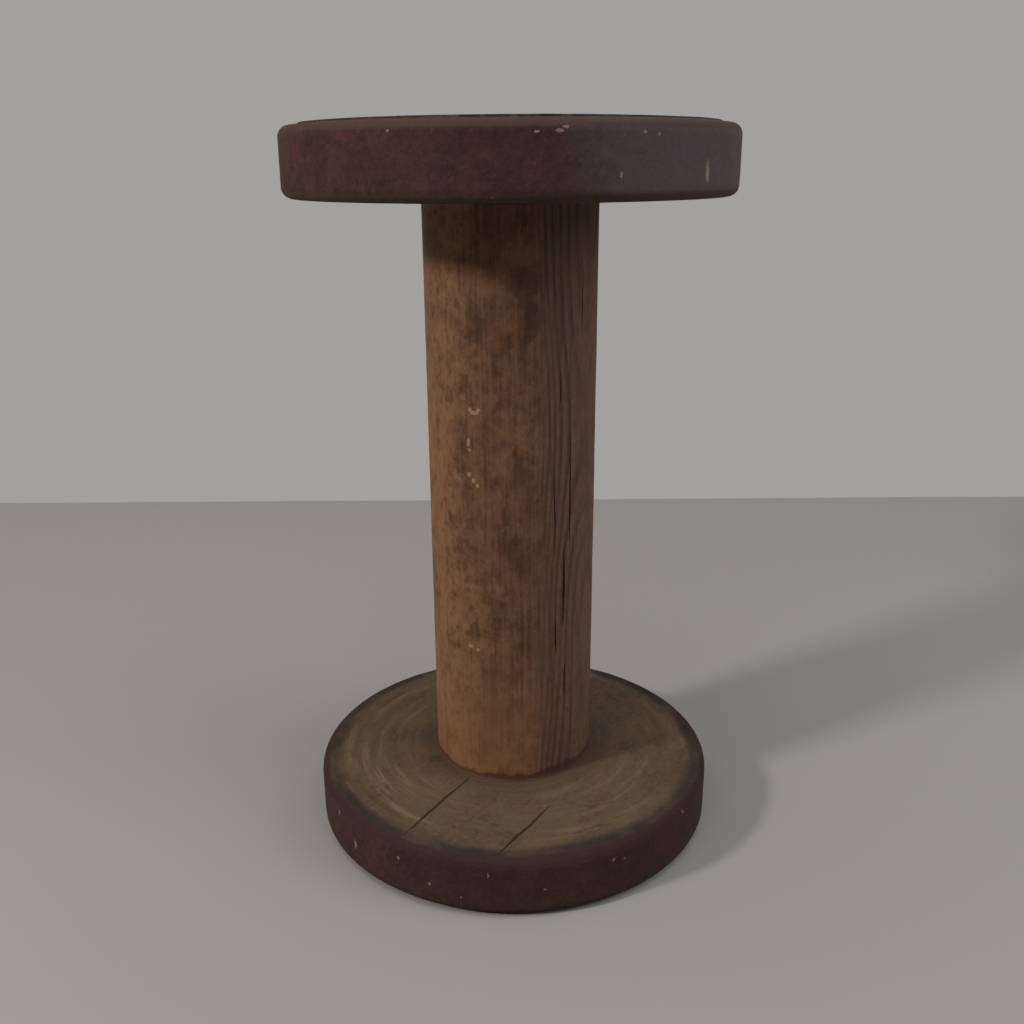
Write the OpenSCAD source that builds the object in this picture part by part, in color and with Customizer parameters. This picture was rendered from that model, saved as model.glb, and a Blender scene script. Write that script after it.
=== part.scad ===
// Flanged wooden bobbin for yarn: a hollow turned barrel with a tenon at each end,
// two built-up flanges of three plies each, and a steel spindle bush let into each end.
// Millimetres, Z along the bobbin. The origin is the middle of the lower outer face,
// on which the bobbin stands.

/* [Flanges] */
// Diameter of each flange
flange_d = 165.1; // [150:0.1:220]
// Thickness of each flange, from its outer face to its inner face beside the rim
flange_t = 25.4; // [23:0.1:40]
// Thickness of the inner ply and of the outer ply; the middle ply takes the rest
face_ply_t = 8.4; // [7:0.1:10]
// Rise of the inner face from the rounding of the rim to the barrel
face_rise = 1.6; // [0.5:0.1:3]
// Radius of the rounded corners of the rim
rim_round = 4; // [2:0.1:6]
// Width of the lower rim ring outside the raised outer face
ring_w = 7; // [4.5:0.1:12]
// Height of the raised outer face above the rim ring
land_h = 0.8; // [0.4:0.1:2]
// Width of the small groove between the raised face and the rim ring
quirk_w = 1; // [0.5:0.1:2]
// Depth of that groove below the rim ring
quirk_depth = 0.5; // [0.3:0.1:1.5]

/* [Barrel] */
// Diameter of the barrel that the yarn is wound on
barrel_d = 66; // [60:0.1:90]
// Distance between the inner faces of the flanges beside their rims
traverse = 228.6; // [150:0.1:400]
// Diameter of the hole bored through the barrel
barrel_bore_d = 25.4; // [23:0.1:30]
// Diameter of the tenon that holds each flange
tenon_d = 44.5; // [42:0.1:50]
// Chamfer on the end of each tenon
tenon_chamfer = 0.8; // [0.3:0.1:1.5]

/* [Lock pins] */
// Number of wooden pins that lock each flange to its tenon
lock_pin_n = 3; // [2:1:3]
// Diameter of a lock pin
lock_pin_d = 8; // [5:0.1:9]
// Wood left between a lock pin and the inner face
lock_pin_stop = 3; // [2:0.1:6]

/* [Spindle bushes] */
// Bore of each bush, for a spindle of 19.05 with a running clearance
spindle_bore_d = 19.5; // [12:0.1:20]
// Chamfer at both mouths of the bore
bore_chamfer = 0.8; // [0.3:0.1:1]
// Length of the bush tube behind its plate
bush_tube_l = 38; // [20:0.1:60]
// Diameter of the round plate of a bush
plate_d = 64; // [63:0.1:80]
// Thickness of that plate
plate_t = 3; // [2.5:0.1:4]
// Depth of the plate's face below the outer face of the flange
plate_sink = 0.4; // [0.2:0.1:1]

/* [Screws] */
// Number of screws in each bush plate
screw_n = 3; // [3:1:3]
// Diameter of a screw head
screw_head_d = 7.6; // [7:0.1:8]
// Diameter over the thread of a screw
screw_d = 4.2; // [3.5:0.1:5]
// Diameter of the core under the thread
screw_core_d = 3; // [2.4:0.1:3.2]
// Length of a screw
screw_l = 19; // [14:0.1:20]
// Pitch of the thread
screw_pitch = 1.6; // [1.2:0.1:2]
// Width of the driver slot
slot_w = 1.1; // [0.8:0.1:1.4]
// Depth of the driver slot
slot_depth = 1; // [0.6:0.1:1.2]

/* [Ply nails] */
// Number of nails in the outer circle of each flange
outer_nail_n = 8; // [6:1:12]
// Number of nails in the inner circle of each flange
inner_nail_n = 4; // [2:2:6]
// Distance of the outer nail circle from the edge of the flange
outer_nail_in = 19; // [14:0.1:24]
// Diameter of a nail's head
nail_head_d = 6; // [5:0.1:7]
// Thickness of a nail's head
nail_head_t = 1; // [0.8:0.1:1.5]
// Diameter of a nail's shank
nail_d = 2.8; // [2:0.1:3.5]
// Depth of a nail's head below the outer face
nail_sink = 0.5; // [0.3:0.1:1]
// Wood left between a nail's point and the inner face
nail_stop = 3; // [2:0.1:5]

/* [Drive holes] */
// Number of blind holes in the lower flange for a driving pin
drive_hole_n = 2; // [1:1:2]
// Diameter of a drive hole
drive_hole_d = 8; // [6:0.1:10]
// Depth of a drive hole from the outer face
drive_hole_depth = 13; // [10:0.1:15]
// Radius of the circle of the drive holes and of the inner nails
drive_circle_r = 47; // [45:0.1:50]

/* [Fits] */
// Gap on each side of a glued wooden joint
glue_gap = 0.1; // [0.05:0.01:0.2]
// Gap on each side of metal let into wood
metal_gap = 0.15; // [0.05:0.01:0.3]

/* [Hidden] */
$fn = 96;

overall_l = traverse + 2 * flange_t;
flange_r = flange_d / 2;
barrel_r = barrel_d / 2;
shoulder_z = flange_t + face_rise;
tenon_r = tenon_d / 2;
plate_r = plate_d / 2;
plate_seat = plate_sink + plate_t;
middle_ply_top = flange_t - face_ply_t;
// The screws stand in the band between the tenon and the edge of the plate
screw_circle_r = (tenon_r + plate_r) / 2;
screw_head_h = (screw_head_d - screw_d) / 2;
screw_tip_l = 1.5 * screw_d;
thread_n = floor((screw_l - screw_head_h - screw_tip_l - screw_pitch) / screw_pitch);
lock_pin_l = flange_t - plate_seat - lock_pin_stop;
outer_nail_r = flange_r - outer_nail_in;
nail_l = flange_t - nail_sink - nail_stop;
nail_tip_l = 1.5 * nail_d;
// Cutters run past the faces that they cut by this much
past = 1;

STEEL = [0.36, 0.34, 0.32];
IRON = [0.25, 0.22, 0.2];
BARREL_WOOD = [0.55, 0.38, 0.24];
FACE_WOOD = [0.5, 0.42, 0.33];
PEG_WOOD = [0.62, 0.48, 0.32];
OXBLOOD = [0.38, 0.18, 0.17];

// Copies of the children on a circle of radius r, the first at the angle start
module around(n, r, start = 0) {
    for (i = [0 : n - 1])
        rotate(start + i * 360 / n) translate([r, 0, 0]) children();
}

// Puts what is drawn for the lower end at the upper end, turned end for end
module at_upper_end() {
    translate([0, 0, overall_l]) rotate([180, 0, 0]) children();
}

// In section, what a rounding with its centre at the origin takes off a square upper corner
module corner_waste() {
    difference() {
        square(rim_round + past);
        circle(rim_round);
    }
}

// The blank of the inner ply, whose face rises in a straight slope from the rounding to the barrel
module inner_ply_blank() {
    round_r = flange_r - rim_round;
    round_z = flange_t - rim_round;
    rotate_extrude() difference() {
        union() {
            translate([0, middle_ply_top]) square([flange_r, face_ply_t]);
            polygon([[0, round_z], [round_r, round_z], [round_r, flange_t], [barrel_r, shoulder_z], [0, shoulder_z]]);
        }
        translate([round_r, round_z]) corner_waste();
    }
}

// The blank of the outer ply: a raised face, a small groove and a lower, rounded rim ring
module outer_ply_blank() {
    rotate_extrude() difference() {
        union() {
            square([flange_r - ring_w, face_ply_t]);
            translate([0, land_h]) square([flange_r, face_ply_t - land_h]);
        }
        translate([flange_r - ring_w, 0]) square([quirk_w, land_h + quirk_depth]);
        translate([flange_r - rim_round, land_h + rim_round]) mirror([0, 1]) corner_waste();
    }
}

// Everything that is bored through the plies of one flange
module flange_cuts(driven) {
    translate([0, 0, -past]) cylinder(r = plate_r + metal_gap, h = plate_seat + past);
    translate([0, 0, -past]) cylinder(r = tenon_r + glue_gap, h = shoulder_z + 2 * past);
    around(screw_n, screw_circle_r) screw_hole();
    around(lock_pin_n, tenon_r, 180 / lock_pin_n) lock_pin_hole();
    around(outer_nail_n, outer_nail_r, 180 / outer_nail_n) nail_hole();
    around(inner_nail_n, drive_circle_r, 180 / inner_nail_n) nail_hole();
    if (driven)
        around(drive_hole_n, drive_circle_r)
            translate([0, 0, -past]) cylinder(d = drive_hole_d, h = drive_hole_depth + past);
}

module inner_ply(driven) {
    difference() {
        inner_ply_blank();
        flange_cuts(driven);
    }
}

module middle_ply(driven) {
    difference() {
        translate([0, 0, face_ply_t]) cylinder(r = flange_r, h = middle_ply_top - face_ply_t);
        flange_cuts(driven);
    }
}

module outer_ply(driven) {
    difference() {
        outer_ply_blank();
        flange_cuts(driven);
    }
}

// The hole that the screw thread fills in the wood behind the plate
module screw_hole() {
    translate([0, 0, plate_seat - past])
        cylinder(d = screw_d + 2 * glue_gap, h = screw_l - plate_t + past + glue_gap);
}

// A countersunk wood screw, its head up to the plate's face at z = 0 and its point at +Z
module screw() {
    difference() {
        union() {
            cylinder(d1 = screw_head_d, d2 = screw_d, h = screw_head_h);
            translate([0, 0, screw_head_h]) cylinder(d = screw_core_d, h = screw_l - screw_head_h - screw_tip_l);
            for (i = [0 : thread_n - 1])
                translate([0, 0, screw_head_h + screw_pitch * (i + 0.5)]) thread_ridge();
            translate([0, 0, screw_l - screw_tip_l]) cylinder(d1 = screw_core_d, d2 = 0, h = screw_tip_l);
        }
        translate([-screw_head_d, -slot_w / 2, -past]) cube([2 * screw_head_d, slot_w, slot_depth + past]);
    }
}

// One turn of the thread, as a ring with sloping sides
module thread_ridge() {
    ridge_h = screw_pitch / 2;
    cylinder(d1 = screw_core_d, d2 = screw_d, h = ridge_h / 2);
    translate([0, 0, ridge_h / 2]) cylinder(d1 = screw_d, d2 = screw_core_d, h = ridge_h / 2);
}

// The hole of a lock pin, half in the tenon and half in the plies
module lock_pin_hole() {
    translate([0, 0, plate_seat - past])
        cylinder(d = lock_pin_d + 2 * glue_gap, h = lock_pin_l + past + glue_gap);
}

module nail_hole() {
    translate([0, 0, -past]) cylinder(d = nail_head_d + 2 * glue_gap, h = nail_sink + nail_head_t + past);
    translate([0, 0, -past]) cylinder(d = nail_d + 2 * glue_gap, h = nail_sink + nail_l + past + glue_gap);
}

module nail() {
    cylinder(d = nail_head_d, h = nail_head_t);
    cylinder(d = nail_d, h = nail_l - nail_tip_l);
    translate([0, 0, nail_l - nail_tip_l]) cylinder(d1 = nail_d, d2 = 0, h = nail_tip_l);
}

// The bush of the lower end: a plate with a tube behind it, bored for the spindle
module bush() {
    difference() {
        union() {
            translate([0, 0, plate_sink]) cylinder(r = plate_r, h = plate_t);
            translate([0, 0, plate_seat]) cylinder(d = barrel_bore_d - 2 * metal_gap, h = bush_tube_l);
        }
        translate([0, 0, -past]) cylinder(d = spindle_bore_d, h = plate_seat + bush_tube_l + 2 * past);
        translate([0, 0, plate_sink]) bore_mouth();
        translate([0, 0, plate_seat + bush_tube_l]) mirror([0, 0, 1]) bore_mouth();
        around(screw_n, screw_circle_r) {
            translate([0, 0, -past]) cylinder(d = screw_d + 2 * metal_gap, h = plate_seat + 2 * past);
            translate([0, 0, plate_sink]) countersink();
        }
    }
}

// The chamfer of a bore that opens at z = 0
module bore_mouth() {
    cylinder(d1 = spindle_bore_d + 2 * bore_chamfer, d2 = spindle_bore_d, h = bore_chamfer);
}

// The seat of a screw head in the plate, wider than the head by the gap
module countersink() {
    cylinder(d1 = screw_head_d + 2 * metal_gap, d2 = screw_d + 2 * metal_gap, h = screw_head_h);
}

// The tenon of the lower end, from the plate's seat to the shoulder of the barrel
module tenon() {
    translate([0, 0, plate_seat])
        cylinder(r1 = tenon_r - tenon_chamfer, r2 = tenon_r, h = tenon_chamfer);
    translate([0, 0, plate_seat + tenon_chamfer])
        cylinder(r = tenon_r, h = shoulder_z - plate_seat - tenon_chamfer);
}

module barrel() {
    color(BARREL_WOOD) difference() {
        union() {
            translate([0, 0, shoulder_z]) cylinder(r = barrel_r, h = overall_l - 2 * shoulder_z);
            tenon();
            at_upper_end() tenon();
        }
        translate([0, 0, plate_seat - past]) cylinder(d = barrel_bore_d, h = overall_l - 2 * plate_seat + 2 * past);
        around(lock_pin_n, tenon_r, 180 / lock_pin_n) lock_pin_hole();
        at_upper_end() around(lock_pin_n, tenon_r, 180 / lock_pin_n) lock_pin_hole();
    }
}

module lower_inner_ply() { color(FACE_WOOD) inner_ply(true); }
module lower_middle_ply() { color(OXBLOOD) middle_ply(true); }
module lower_outer_ply() { color(OXBLOOD) outer_ply(true); }
module upper_inner_ply() { color(FACE_WOOD) at_upper_end() inner_ply(false); }
module upper_middle_ply() { color(OXBLOOD) at_upper_end() middle_ply(false); }
module upper_outer_ply() { color(OXBLOOD) at_upper_end() outer_ply(false); }

module lower_bush() { color(STEEL) bush(); }
module upper_bush() { color(STEEL) at_upper_end() bush(); }

module lower_bush_screws() {
    color(STEEL) around(screw_n, screw_circle_r) translate([0, 0, plate_sink]) screw();
}
module upper_bush_screws() { at_upper_end() lower_bush_screws(); }

module lower_lock_pins() {
    color(PEG_WOOD) around(lock_pin_n, tenon_r, 180 / lock_pin_n)
        translate([0, 0, plate_seat]) cylinder(d = lock_pin_d, h = lock_pin_l);
}
module upper_lock_pins() { at_upper_end() lower_lock_pins(); }

module lower_ply_nails() {
    color(IRON) {
        around(outer_nail_n, outer_nail_r, 180 / outer_nail_n) translate([0, 0, nail_sink]) nail();
        around(inner_nail_n, drive_circle_r, 180 / inner_nail_n) translate([0, 0, nail_sink]) nail();
    }
}
module upper_ply_nails() { at_upper_end() lower_ply_nails(); }

barrel();
lower_inner_ply();
lower_middle_ply();
lower_outer_ply();
upper_inner_ply();
upper_middle_ply();
upper_outer_ply();
lower_bush();
upper_bush();
lower_bush_screws();
upper_bush_screws();
lower_lock_pins();
upper_lock_pins();
lower_ply_nails();
upper_ply_nails();
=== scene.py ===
"""Visual model of a flanged wooden bobbin: turned wood, worn oxblood paint and steel bushes.

The CAD frame gives every outer size. Each wooden piece is a closed surface of revolution, moved
along its normals by turning marks, grain and wear, with its holes, splits and cracks cut out.
"""
from math import atan2, cos, pi, radians, sin

import bpy
import numpy as np
from bpy.props import FloatProperty, FloatVectorProperty, IntProperty, PointerProperty
from bpy.types import Operator, Panel, PropertyGroup
from mathutils import Matrix, Vector


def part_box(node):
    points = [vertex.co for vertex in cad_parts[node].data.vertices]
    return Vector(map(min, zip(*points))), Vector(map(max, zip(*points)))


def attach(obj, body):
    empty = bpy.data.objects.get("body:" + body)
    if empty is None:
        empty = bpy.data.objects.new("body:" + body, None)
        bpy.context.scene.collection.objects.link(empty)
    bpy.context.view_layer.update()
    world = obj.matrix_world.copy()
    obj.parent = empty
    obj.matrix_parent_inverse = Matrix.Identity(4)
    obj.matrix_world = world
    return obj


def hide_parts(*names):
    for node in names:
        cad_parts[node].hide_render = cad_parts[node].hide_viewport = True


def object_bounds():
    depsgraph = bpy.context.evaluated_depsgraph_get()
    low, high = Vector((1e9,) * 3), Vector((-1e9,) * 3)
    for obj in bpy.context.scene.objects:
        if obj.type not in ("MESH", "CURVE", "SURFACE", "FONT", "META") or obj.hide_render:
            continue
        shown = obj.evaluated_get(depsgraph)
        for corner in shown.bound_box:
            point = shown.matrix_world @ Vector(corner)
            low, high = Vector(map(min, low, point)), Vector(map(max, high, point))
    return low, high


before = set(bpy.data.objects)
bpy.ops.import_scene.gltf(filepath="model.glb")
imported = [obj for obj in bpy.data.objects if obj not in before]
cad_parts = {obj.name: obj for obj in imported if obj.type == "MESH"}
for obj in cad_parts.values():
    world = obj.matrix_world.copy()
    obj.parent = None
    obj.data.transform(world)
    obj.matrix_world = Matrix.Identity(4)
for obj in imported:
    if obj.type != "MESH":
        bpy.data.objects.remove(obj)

bl_info = {
    "name": "Wooden Bobbin",
    "version": (1, 0, 0),
    "blender": (4, 5, 0),
    "location": "3D View > Sidebar > Bobbin",
    "description": "Builds the looks of a flanged wooden bobbin around its solid model",
    "category": "Add Mesh",
}

CAD_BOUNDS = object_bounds()
MM = 0.001

BARREL_LOW, BARREL_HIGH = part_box("barrel")
BARREL_R = BARREL_HIGH[0]
FLANGE_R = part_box("lower_middle_ply")[1][0]
OUTER_PLY_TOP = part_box("lower_outer_ply")[1][2]
MIDDLE_PLY_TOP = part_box("lower_middle_ply")[1][2]
SHOULDER_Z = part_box("lower_inner_ply")[1][2]
PLATE_SEAT = BARREL_LOW[2]
PLATE_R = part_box("lower_bush")[1][0]
OVERALL = CAD_BOUNDS[1][2]
ENDS = ("lower", "upper")


def tone(red, green, blue):
    """A colour given as it looks on a screen, 0 to 255, as the linear colour that shaders use."""
    shown = np.array([red, green, blue]) / 255
    linear = np.where(shown <= 0.04045, shown / 12.92, ((shown + 0.055) / 1.055) ** 2.4)
    return tuple(float(c) for c in linear)


def length(name, text, millimetres, low=0.0, high=500.0):
    """A length property, given in millimetres and held in metres."""
    return FloatProperty(name=name, description=text, default=millimetres * MM, min=low * MM, max=high * MM,
                         unit="LENGTH", precision=5)


def colour(name, text, *shown):
    """A colour property, given as it looks on a screen."""
    return FloatVectorProperty(name=name, description=text, default=tone(*shown), size=3, min=0, max=1,
                               subtype="COLOR")


class BOBBIN_PG_shape(PropertyGroup):
    """Sizes that the frame's boxes don't give, and the fineness of the surfaces."""

    face_rise: length("Face rise", "Rise of a flange's inner face from its rim to the barrel", 1.6)
    rim_round: length("Rim rounding", "Radius of the rounded corners of the rim", 4.0)
    ring_width: length("Ring width", "Width of the lower ring outside the raised outer face", 7.0)
    land_height: length("Land height", "Height of the raised outer face above the ring", 0.8)
    quirk_width: length("Quirk width", "Width of the groove between raised face and ring", 1.0)
    quirk_depth: length("Quirk depth", "Depth of that groove below the ring", 0.5)
    ring_crown: length("Ring crown", "Height of the ring's middle above its sides", 0.25)
    tenon_radius: length("Tenon radius", "Radius of the barrel's tenons", 22.25)
    bore_radius: length("Bore radius", "Radius of the hole through the barrel", 12.7)
    wood_gap: length("Joint gap", "Gap on each side of a glued joint", 0.1)
    metal_gap: length("Metal gap", "Gap on each side of metal let into wood", 0.15)
    foot_fillet: length("Foot fillet", "Radius of the paint that filled the corner of barrel and flange", 0.4)
    face_step: length("Face step", "Distance between rows of points on a flange's face", 0.75)
    barrel_step: length("Barrel step", "Distance between rows of points on the barrel", 1.2)
    hidden_step: length("Hidden step", "Distance between rows of points inside the joints", 5.0)
    flange_turns: IntProperty(name="Flange points", description="Points round a flange", default=720, min=90)
    barrel_turns: IntProperty(name="Barrel points", description="Points round the barrel", default=330, min=60)


class BOBBIN_PG_colours(PropertyGroup):
    """Colours of the finishes, as they look in plain light."""

    paint: colour("Paint", "Oxblood paint of the rims", 70, 45, 43)
    paint_red: colour("Red paint", "Redder patches of the paint", 86, 46, 40)
    # Also the painted shade of the lower rim, on its rounded corners and on its side away from the key light.
    paint_dark: colour("Dark paint", "Dirty and burnt patches of the paint", 50, 32, 30)
    paint_cool_sheen: colour("Grey paint", "Paint bleached blue-grey", 82, 70, 73)
    paint_worn: colour("Worn paint", "Paint rubbed thin over the wood", 66, 51, 43)
    # Painted sheen of the cool light from the right, laid on the upper rim's paint.
    chip: colour("Chip", "Pale ground under a chip of paint", 150, 128, 112)
    face_light: colour("Light face", "Light rings of the bare inner face", 116, 97, 74)
    face_mid: colour("Middle face", "Main colour of the bare inner face", 94, 75, 59)
    # Also painted as the stain and shade round the barrel's foot.
    face_dark: colour("Dark face", "Dark rings of the bare inner face", 72, 57, 46)
    face_warm: colour("Warm face", "Less weathered patches of the face", 112, 76, 54)
    face_olive: colour("Olive face", "Mossy patches of the face", 92, 79, 56)
    grime: colour("Grime", "Dirt by the paint and in the cracks", 44, 38, 36)
    barrel_warm: colour("Warm barrel", "Main colour of the barrel", 104, 73, 50)
    # Also painted light: on the barrel's key-lit left side and near its bottom.
    barrel_light: colour("Light barrel", "Rubbed, lighter patches of the barrel", 136, 98, 66)
    barrel_dark: colour("Dark barrel", "Stained patches of the barrel", 70, 47, 34)
    barrel_grey: colour("Weathered barrel", "Weathered side of the barrel", 98, 73, 61)
    # Also the colour of the painted shade in the highest dark spots of the barrel.
    late_wood: colour("Late wood", "Dark lines of the growth rings", 58, 40, 34)
    cream: colour("Cream", "Specks of cream paint", 168, 138, 104)
    steel: colour("Steel", "Bare steel of the bushes", 122, 118, 112)
    rust: colour("Rust", "Rust on the bushes and screws", 96, 58, 36)
    iron: colour("Iron", "Iron of the nails", 78, 66, 58)
    peg: colour("Peg", "Wood of the lock pins", 156, 120, 82)


class BOBBIN_PG_stage(PropertyGroup):
    """Camera, floor and lights."""

    focal_length: FloatProperty(name="Focal length", description="Lens, for a sensor 36 mm wide", default=36.65)
    camera_back: length("Camera distance", "Distance of the camera from the bobbin's axis", 400.77, high=5000)
    camera_side: length("Camera side", "Camera's place to the right", -0.11, low=-5000, high=5000)
    camera_height: length("Camera height", "Height of the camera over the floor", 265.62, high=5000)
    camera_pitch: FloatProperty(name="Pitch", description="Angle that the camera looks down by",
                                default=radians(18.502), subtype="ANGLE")
    camera_roll: FloatProperty(name="Roll", description="Turn of the camera about its own axis",
                               default=radians(-0.366), subtype="ANGLE")
    floor_back: length("Floor back", "Distance from the bobbin to the back edge of the floor", 425, high=5000)
    floor_colour: colour("Floor", "Colour of the floor", 152, 149, 147)
    wall_colour: colour("Wall", "Colour behind the floor", 163, 161, 159)
    key_power: FloatProperty(name="Key", description="Power of the low light from the left", default=13,
                             subtype="POWER")
    side_power: FloatProperty(name="Side", description="Power of the broad light from the right", default=9,
                              subtype="POWER")
    top_power: FloatProperty(name="Top", description="Power of the broad light overhead", default=22,
                             subtype="POWER")
    fill_strength: FloatProperty(name="Fill", description="Strength of the even light from all round", default=0.09)


def value_noise(points, cell, seed):
    """Noise from -1 to 1: random numbers at the corners of cubes of side cell, blended along each axis by
    3 t^2 - 2 t^3, where t is the place between two corners."""
    table = np.random.default_rng(seed).uniform(-1, 1, 4096)
    place = points / cell
    base = np.floor(place)
    t = place - base
    t = t * t * (3 - 2 * t)
    base = base.astype(np.int64)
    total = np.zeros(points.shape[:-1])
    for corner in np.ndindex(2, 2, 2):
        weight = np.where(np.array(corner) == 1, t, 1 - t).prod(axis=-1)
        key = (base + np.array(corner)) @ np.array([73856093, 19349663, 83492791])
        total += weight * table[(key ^ (key >> 13)) % 4096]
    return total


def layered_noise(points, cell, seed, layers=3):
    """The sum of layers of value noise, each with half the cell and half the height of the last."""
    return sum(value_noise(points, cell / 2 ** k, seed + k) / 2 ** k for k in range(layers)) / 1.5


def straight(start, end, step):
    """Evenly spaced points (radius, height) from start up to, and without, end."""
    start, end = np.array(start, float), np.array(end, float)
    count = max(1, round(float(np.linalg.norm(end - start)) / step))
    share = np.arange(count)[:, None] / count
    return start + (end - start) * share


def bend(centre, radius, first, last, count):
    """Points of an arc about centre from the angle first up to, and without, last, in degrees from +radius."""
    angle = np.radians(first + (last - first) * np.arange(count) / count)
    return np.array(centre) + radius * np.stack([np.cos(angle), np.sin(angle)], axis=1)


def lathe(profile, turns):
    """Points and normals of a closed profile (radius, height) turned about Z, as arrays [row, turn, axis].
    The point of a row at the angle a is (radius cos a, radius sin a, height), and its normal is the
    profile's tangent turned by a right angle. The profile runs with the wood on its left."""
    ahead = np.roll(profile, -1, axis=0) - profile
    tangent = ahead / np.linalg.norm(ahead, axis=1, keepdims=True)
    tangent = tangent + np.roll(tangent, 1, axis=0)
    tangent /= np.maximum(np.linalg.norm(tangent, axis=1, keepdims=True), 1e-9)
    angle = 2 * pi * np.arange(turns) / turns
    ring = np.stack([np.cos(angle), np.sin(angle)], axis=1)

    def turned(radial, axial):
        flat = radial[:, None, None] * ring[None]
        height = np.broadcast_to(axial[:, None, None], flat.shape[:2] + (1,))
        return np.concatenate([flat, height], axis=2)

    return turned(profile[:, 0], profile[:, 1]), turned(tangent[:, 1], -tangent[:, 0])


def end_for_end(vectors, overall=0.0):
    """Points, or with overall 0 directions, of the lower end turned about X to the upper end."""
    return vectors * np.array([1, -1, -1]) + np.array([0, 0, overall])


def surface_object(name, points, layers):
    """An object whose closed mesh joins neighbours of the grid points[row, turn] with four-sided faces, both
    ways round. layers holds one number per point under each name, for the materials."""
    rows, turns = points.shape[:2]
    index = np.arange(rows * turns).reshape(rows, turns)
    right, above = np.roll(index, -1, axis=1), np.roll(index, -1, axis=0)
    quads = np.stack([index, right, np.roll(right, -1, axis=0), above], axis=-1).reshape(-1, 4)
    mesh = bpy.data.meshes.new(name)
    mesh.from_pydata(points.reshape(-1, 3), [], quads)
    for layer, values in layers.items():
        mesh.attributes.new(layer, "FLOAT", "POINT").data.foreach_set("value", values.ravel().astype(np.float32))
    mesh.shade_smooth()
    piece = bpy.data.objects.new(name, mesh)
    bpy.context.scene.collection.objects.link(piece)
    return piece


def cutter_parts(outlines, sides=28):
    """Vertices and faces of closed plugs. Each outline is (x, y, [(radius, height), ...] from low to high), and a
    plug's ring at one height is the point (x + radius cos a, y + radius sin a)."""
    angle = 2 * pi * np.arange(sides) / sides
    vertices, faces = [], []
    for x, y, outline in outlines:
        first = len(vertices)
        for radius, height in outline:
            ring = np.stack([x + radius * np.cos(angle), y + radius * np.sin(angle), np.full(sides, height)], 1)
            vertices.extend(ring.tolist())
        for row in range(len(outline) - 1):
            low = first + row * sides
            for k in range(sides):
                after = (k + 1) % sides
                faces.append((low + k, low + after, low + sides + after, low + sides + k))
        faces.append(tuple(first + k for k in reversed(range(sides))))
        faces.append(tuple(first + (len(outline) - 1) * sides + k for k in range(sides)))
    return vertices, faces


def blade_parts(start, end, down, width, depth, lift, seed, steps=24):
    """Vertices and faces of a thin wedge that cuts a crack from start to end. Its section is a V, lift above the
    surface and depth below it along down, its width swells as sin(pi t) from end to end, and its line
    wanders a little to each side."""
    start, end, down = np.array(start, float), np.array(end, float), np.array(down, float)
    down /= np.linalg.norm(down)
    side = np.cross(down, (end - start) / np.linalg.norm(end - start))
    t = np.linspace(0, 1, steps + 1)[:, None]
    middle = start + (end - start) * t
    middle = middle + side * value_noise(middle, 9 * MM, seed)[:, None] * 0.35 * MM
    swell = np.maximum(np.sin(pi * t) ** 0.6, 0.06)
    half = side * swell * width / 2
    top = lift * -down
    rows = np.stack([middle - half * 1.6 + top, middle + half * 1.6 + top, middle + down * depth * swell], axis=1)
    vertices = rows.reshape(-1, 3).tolist()
    faces = [(2, 1, 0), (3 * steps, 3 * steps + 1, 3 * steps + 2)]
    for k in range(steps):
        for a, b in ((0, 1), (1, 2), (2, 0)):
            faces.append((3 * k + a, 3 * k + b, 3 * k + 3 + b, 3 * k + 3 + a))
    return vertices, faces


def cut_out(piece, parts):
    """Takes the closed parts, given as (vertices, faces), out of the piece."""
    vertices, faces = [], []
    for part_vertices, part_faces in parts:
        first = len(vertices)
        vertices.extend(part_vertices)
        faces.extend(tuple(first + k for k in face) for face in part_faces)
    mesh = bpy.data.meshes.new("cutter")
    mesh.from_pydata(vertices, [], faces)
    cutter = bpy.data.objects.new("cutter", mesh)
    bpy.context.scene.collection.objects.link(cutter)
    modifier = piece.modifiers.new("holes", "BOOLEAN")
    modifier.operation = "DIFFERENCE"
    modifier.solver = "EXACT"
    modifier.object = cutter
    evaluated = piece.evaluated_get(bpy.context.evaluated_depsgraph_get())
    result = bpy.data.meshes.new_from_object(evaluated)
    piece.modifiers.clear()
    piece.data = result
    bpy.data.objects.remove(cutter)
    bpy.data.meshes.remove(mesh)


def finish_piece(piece, nodes, material, sharp=35.0):
    """Gives a piece its edges, material and body, and hides the CAD nodes that it stands for."""
    piece.data.set_sharp_from_angle(angle=radians(sharp))
    piece.data.materials.clear()
    piece.data.materials.append(material)
    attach(piece, "root")
    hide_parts(*nodes)


def smooth(value, low, high):
    """0 below low, 1 above high, and 3 t^2 - 2 t^3 between."""
    t = np.clip((value - low) / (high - low), 0, 1)
    return t * t * (3 - 2 * t)


def around(count, radius, start=0.0):
    """Places (x, y) of count things on a circle, the first at the angle start in degrees."""
    return [(radius * cos(radians(start + 360 * k / count)), radius * sin(radians(start + 360 * k / count)))
            for k in range(count)]


def on_round(radius, angle, height):
    """The point of an upright round surface at an angle from the front, in degrees towards +X."""
    return (radius * sin(radians(angle)), -radius * cos(radians(angle)), height)


# Bored holes, at the places that the solid model gives them

SCREW_N, LOCK_PIN_N, OUTER_NAIL_N, INNER_NAIL_N, DRIVE_HOLE_N = 3, 3, 8, 4, 2
SCREW_HOLE_R, SCREW_END = 2.2 * MM, 19.5 * MM
LOCK_PIN_R, LOCK_PIN_STOP = 4.1 * MM, 3.0 * MM
NAIL_HEAD_R, NAIL_SEAT, NAIL_HOLE_R, NAIL_STOP = 3.1 * MM, 1.5 * MM, 1.5 * MM, 2.9 * MM
NAIL_IN, DRIVE_CIRCLE_R = 19.0 * MM, 47.0 * MM
DRIVE_HOLE_R, DRIVE_HOLE_DEPTH = 4.0 * MM, 13.0 * MM
PAST = 1.0 * MM


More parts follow.
